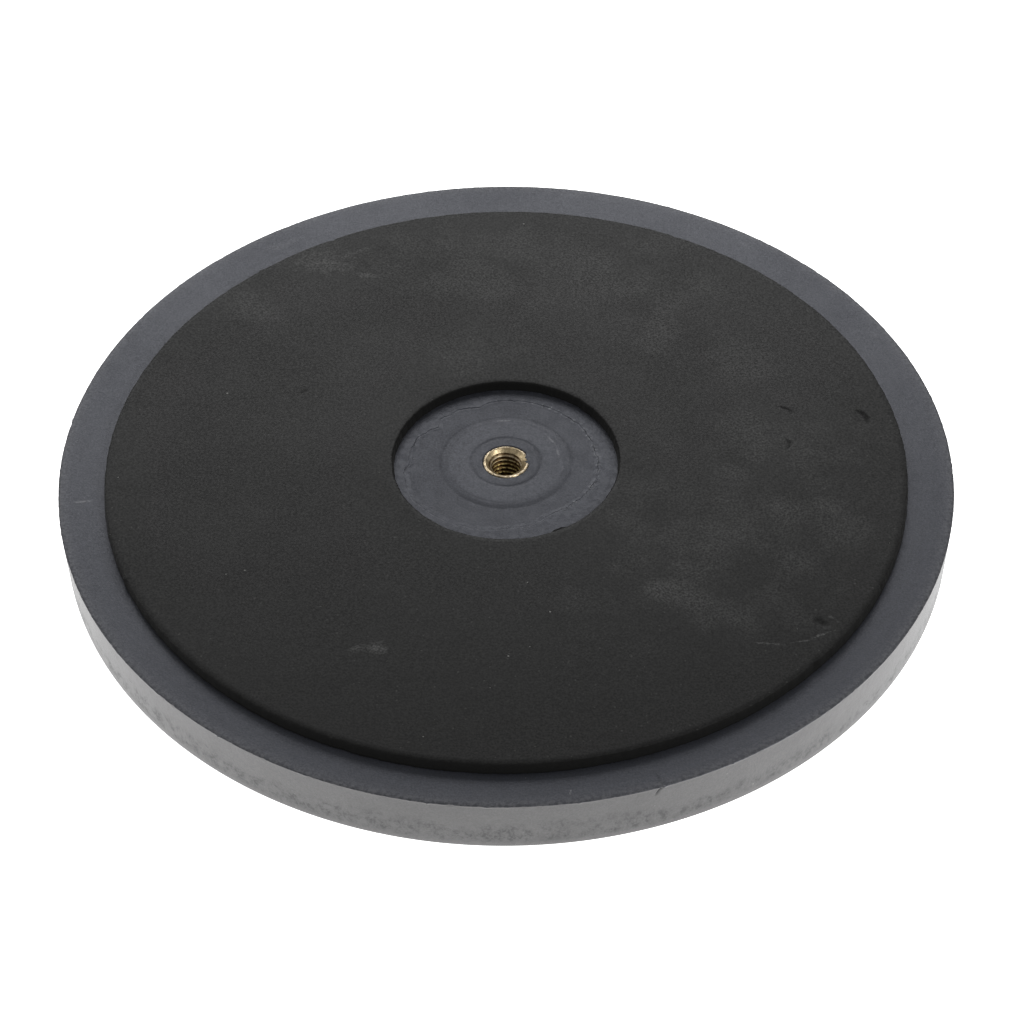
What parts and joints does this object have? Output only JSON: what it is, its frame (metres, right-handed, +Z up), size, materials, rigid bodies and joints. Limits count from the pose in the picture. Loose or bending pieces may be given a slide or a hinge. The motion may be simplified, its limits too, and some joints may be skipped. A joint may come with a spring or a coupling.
{
  "type": "drum practice pad",
  "caption": "Round moulded rubber practice pad with a foam ring glued on its underside and a brass threaded insert in the middle for a stand.",
  "frame": {"origin": "middle of the playing face, which lies down on the surface", "axes": "+Z up along the disc's axis, from the playing face towards the foam underside and out of the mouth of the thread"},
  "size_m": [0.2032, 0.2032, 0.0159],
  "materials": {
    "moulded_rubber": "matte",
    "dried_adhesive": "satin",
    "black_foam": "matte",
    "brass": "satin"
  },
  "bodies": {
    "root": {"rubber_disc": "moulded_rubber", "adhesive_film": "dried_adhesive", "foam_ring": "black_foam", "threaded_insert": "brass"}
  },
  "joints": []
}
